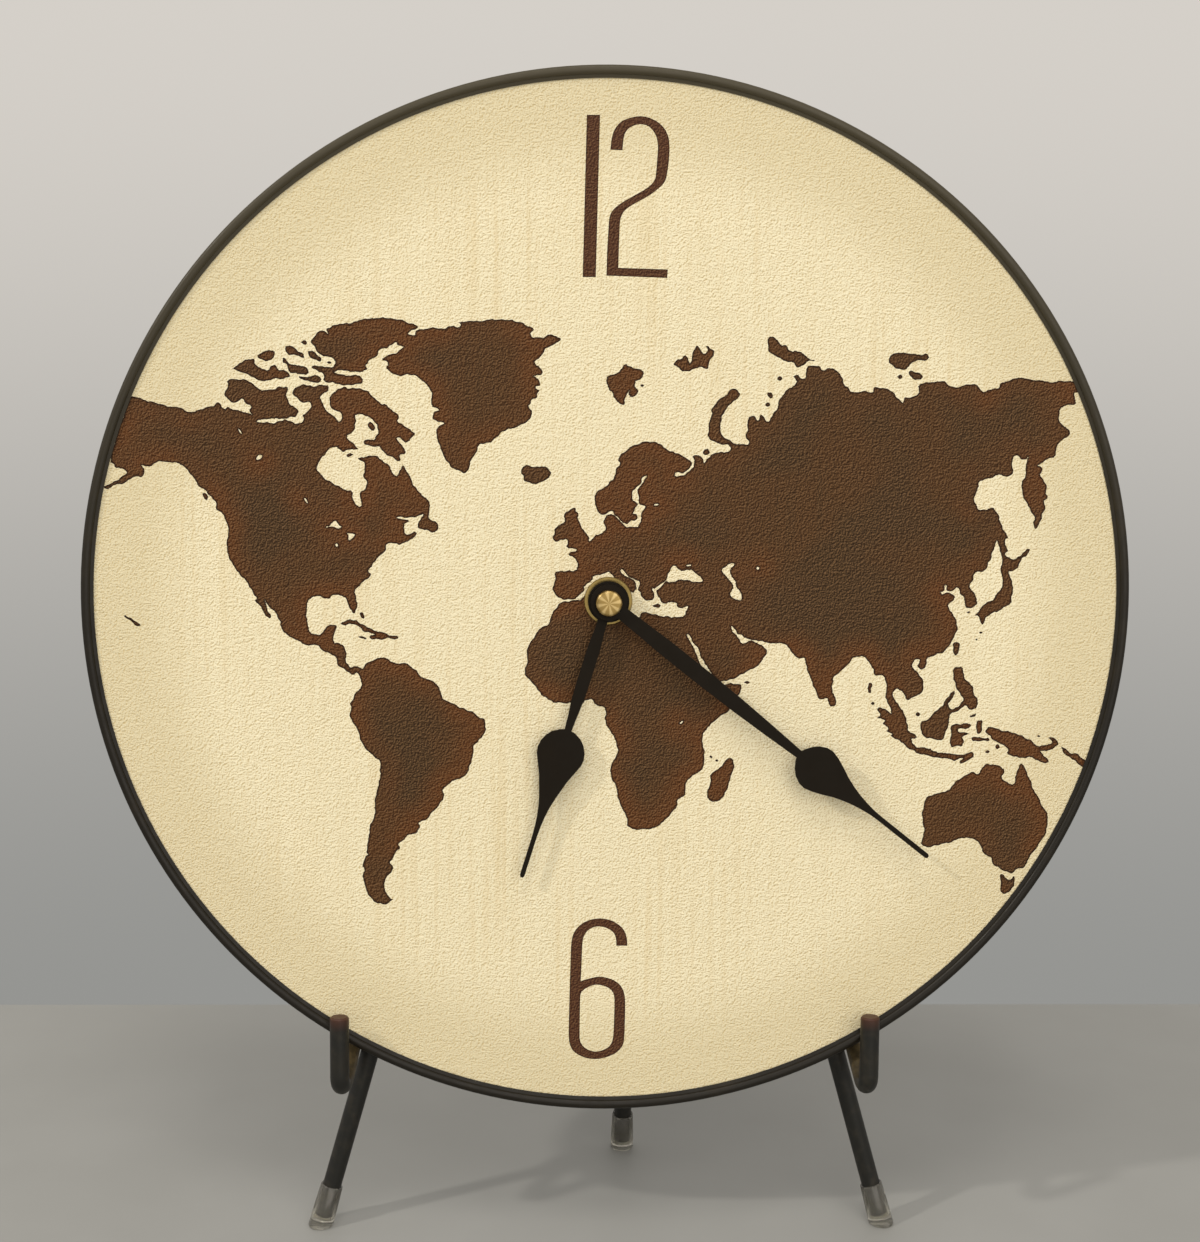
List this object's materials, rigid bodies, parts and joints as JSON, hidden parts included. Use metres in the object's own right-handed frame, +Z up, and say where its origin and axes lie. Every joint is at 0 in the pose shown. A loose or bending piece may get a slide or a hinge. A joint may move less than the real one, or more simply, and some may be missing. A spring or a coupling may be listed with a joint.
{
  "type": "world map desk clock",
  "caption": "Round wooden world map clock with dark hands and a black rim, lifting off a folding wire easel stand with clear foot caps.",
  "frame": {"origin": "on the table under the middle of the clock's box, half way between the front hooks and the rear foot", "axes": "+Z up from the table, -Y towards the viewer who reads the dial, +X to that viewer's right"},
  "size_m": [0.305, 0.0668, 0.3447],
  "materials": {
    "board_black": "painted fibreboard",
    "rim_black": "satin black",
    "ply_brown": "stained veneer",
    "ply_cream": "pale veneer",
    "case_black": "moulded",
    "gasket_rubber": "matt",
    "cell_jacket": "plain printed jacket",
    "contact_steel": "nickel plated",
    "gear_white": "moulded acetal",
    "winding_copper": "enamelled copper wire",
    "circuit_green": "laminate",
    "knob_grey": "moulded",
    "brass": "turned",
    "hand_black": "matt black lacquer on thin sheet",
    "rod_black": "black lacquered steel wire",
    "cap_clear": "clear soft vinyl"
  },
  "bodies": {
    "stand": {"front_leg_left": "rod_black", "front_leg_right": "rod_black", "hook_left": "rod_black", "hook_right": "rod_black", "foot_cap_left": "cap_clear", "foot_cap_right": "cap_clear", "top_bar": "rod_black", "stop_pin": "rod_black"},
    "rear_leg": {"hinge_sleeve": "rod_black", "rear_leg": "rod_black", "foot_cap_rear": "cap_clear"},
    "clock_head": {"backing_board": "board_black", "bezel_ring": "rim_black", "land_ply": "ply_brown", "dial_face": "ply_cream", "inlay_six": "ply_cream", "inlay_caspian": "ply_cream", "inlay_superior": "ply_cream", "movement_case": "case_black", "movement_cover": "case_black", "rubber_gasket": "gasket_rubber", "battery": "cell_jacket", "contact_positive": "contact_steel", "contact_negative": "contact_steel", "stator": "contact_steel", "coil": "winding_copper", "circuit_board": "circuit_green", "dial_washer": "brass", "hex_nut": "brass"},
    "minute_hand": {"minute_hand": "hand_black", "cap_nut": "brass", "minute_arbor": "gear_white"},
    "hour_hand": {"hour_hand": "hand_black", "hour_wheel": "gear_white"},
    "minute_wheel": {"minute_wheel": "gear_white"},
    "setting_knob": {"setting_knob": "knob_grey"},
    "centre_wheel": {"centre_wheel": "gear_white"},
    "third_wheel": {"third_wheel": "gear_white"},
    "seconds_wheel": {"seconds_wheel": "gear_white"},
    "fifth_wheel": {"fifth_wheel": "gear_white"},
    "rotor": {"rotor": "gear_white"}
  },
  "joints": [
    {"name": "rear_leg_fold", "type": "hinge", "parent": "stand", "child": "rear_leg", "pos_m": [0.0078, 0.00738, 0.14249], "axis": [-1, 0, 0], "range_deg": [0, 16.8]},
    {"name": "head_lift", "type": "slide", "parent": "stand", "child": "clock_head", "axis": [0, 0.1392, 0.9903], "range_m": [0, 0.025]},
    {"name": "minute_spin", "type": "hinge", "parent": "clock_head", "child": "minute_hand", "pos_m": [0, -0.00422, 0.1936], "axis": [0, 0.9903, -0.1392], "continuous": true},
    {"name": "hour_spin", "type": "hinge", "parent": "clock_head", "child": "hour_hand", "pos_m": [0, -0.00422, 0.1936], "axis": [0, 0.9903, -0.1392], "continuous": true},
    {"name": "minute_wheel_spin", "type": "hinge", "parent": "clock_head", "child": "minute_wheel", "pos_m": [0.00812, 0.01063, 0.19151], "axis": [0, 0.9903, -0.1392], "continuous": true},
    {"name": "setting_knob_spin", "type": "hinge", "parent": "clock_head", "child": "setting_knob", "pos_m": [0.01434, 0.01136, 0.19668], "axis": [0, 0.9903, -0.1392], "continuous": true},
    {"name": "seconds_wheel_spin", "type": "hinge", "parent": "clock_head", "child": "seconds_wheel", "pos_m": [-0.00844, 0.01216, 0.20238], "axis": [0, 0.9903, -0.1392], "continuous": true},
    {"name": "centre_wheel_spin", "type": "hinge", "parent": "clock_head", "child": "centre_wheel", "pos_m": [0, -0.00422, 0.1936], "axis": [0, 0.9903, -0.1392], "continuous": true},
    {"name": "third_wheel_spin", "type": "hinge", "parent": "clock_head", "child": "third_wheel", "pos_m": [-0.00281, 0.0117, 0.19916], "axis": [0, 0.9903, -0.1392], "continuous": true},
    {"name": "fifth_wheel_spin", "type": "hinge", "parent": "clock_head", "child": "fifth_wheel", "pos_m": [-0.01387, 0.01229, 0.20333], "axis": [0, 0.9903, -0.1392], "continuous": true},
    {"name": "rotor_spin", "type": "hinge", "parent": "clock_head", "child": "rotor", "pos_m": [-0.01892, 0.01203, 0.20151], "axis": [0, 0.9903, -0.1392], "continuous": true}
  ],
  "couplings": [
    {"joint": "hour_spin", "follows": "minute_spin", "ratio": 0.083333},
    {"joint": "minute_wheel_spin", "follows": "minute_spin", "ratio": -0.33333},
    {"joint": "setting_knob_spin", "follows": "minute_spin", "ratio": 1},
    {"joint": "rotor_spin", "follows": "seconds_wheel_spin", "ratio": 30},
    {"joint": "fifth_wheel_spin", "follows": "seconds_wheel_spin", "ratio": -5},
    {"joint": "third_wheel_spin", "follows": "seconds_wheel_spin", "ratio": -0.13333},
    {"joint": "centre_wheel_spin", "follows": "seconds_wheel_spin", "ratio": 0.016667}
  ]
}
